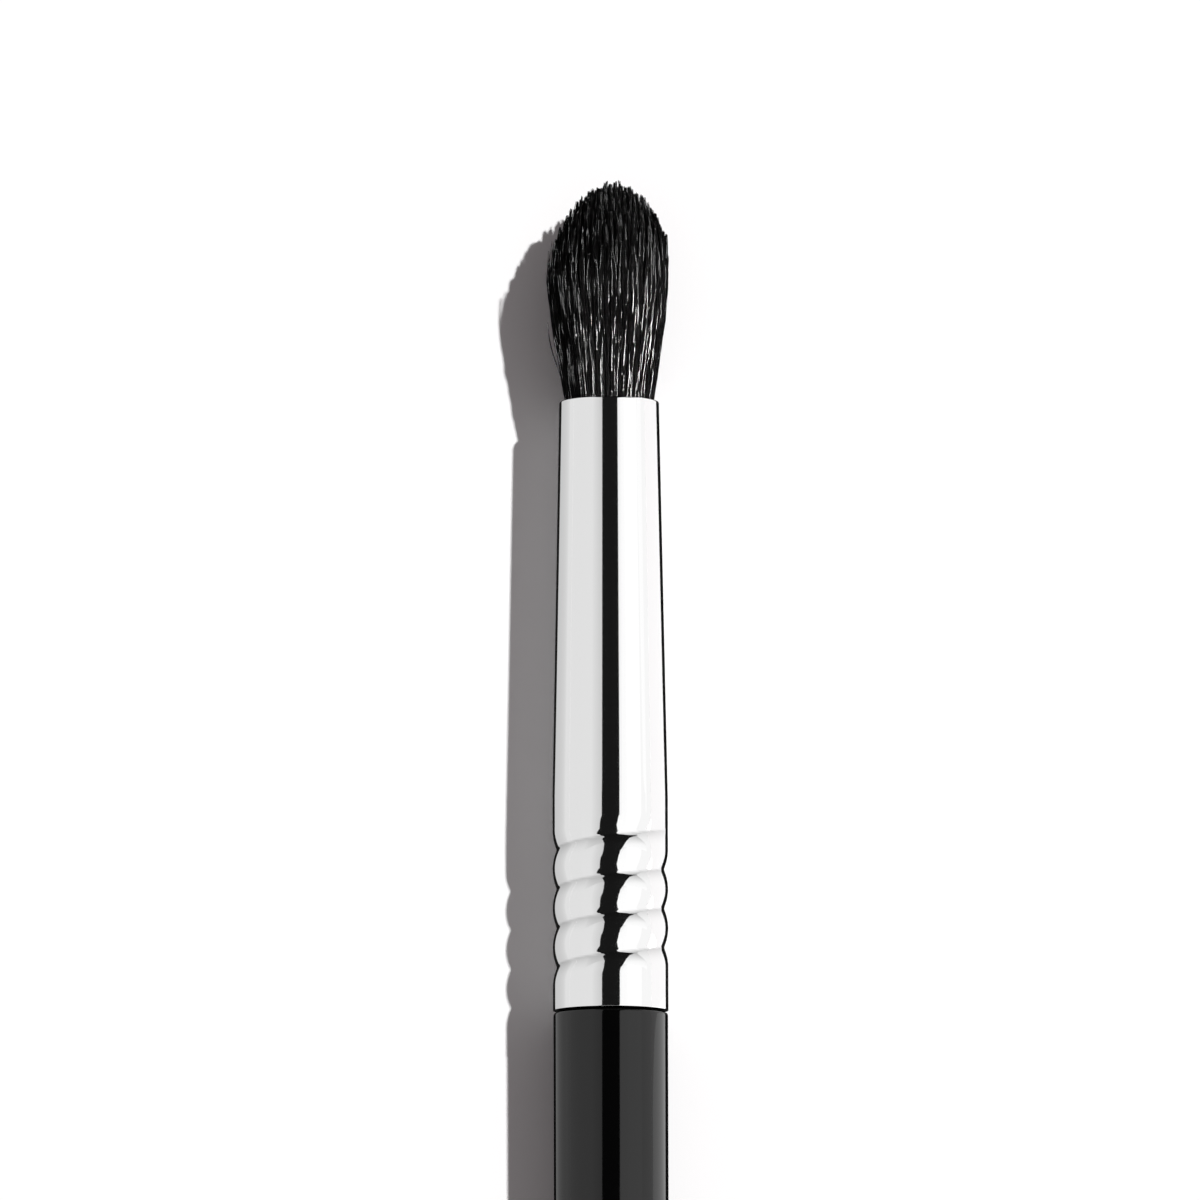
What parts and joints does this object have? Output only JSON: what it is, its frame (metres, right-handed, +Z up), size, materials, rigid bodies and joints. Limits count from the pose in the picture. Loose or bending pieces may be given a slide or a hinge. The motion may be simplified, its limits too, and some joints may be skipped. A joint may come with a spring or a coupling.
{
  "type": "eyeshadow brush",
  "caption": "Round eyeshadow brush: domed dark hair tuft in a bright tapered ferrule with a helical crimp, on a slim gloss black handle; the tuft flexes at the mouth.",
  "frame": {"origin": "on the brush's axis, at the middle of the handle's straight grip just behind the ferrule", "axes": "the brush lies on its side: +Y runs along the axis to the handle's tail, -Y to the tuft's tip, +Z is up"},
  "size_m": [0.0082, 0.1703, 0.0082],
  "materials": {
    "hair": "satin",
    "thread": "matte",
    "resin": "gloss",
    "plated_metal": "polished",
    "wood_glue": "satin",
    "lacquered_wood": "gloss"
  },
  "bodies": {
    "handle_and_ferrule": {"handle": "lacquered_wood", "ferrule": "plated_metal", "tenon_glue": "wood_glue", "root_glue": "resin", "binding_thread": "thread"},
    "tuft": {"bristle_tuft": "hair"}
  },
  "joints": [
    {"name": "tuft_flex", "type": "hinge", "parent": "handle_and_ferrule", "child": "tuft", "pos_m": [0, -0.0493, 0], "axis": [0, 0, 1], "range_deg": [-25, 25], "stiffness_Nm_per_rad": 0.002, "deforming": ["bristle_tuft"]}
  ]
}
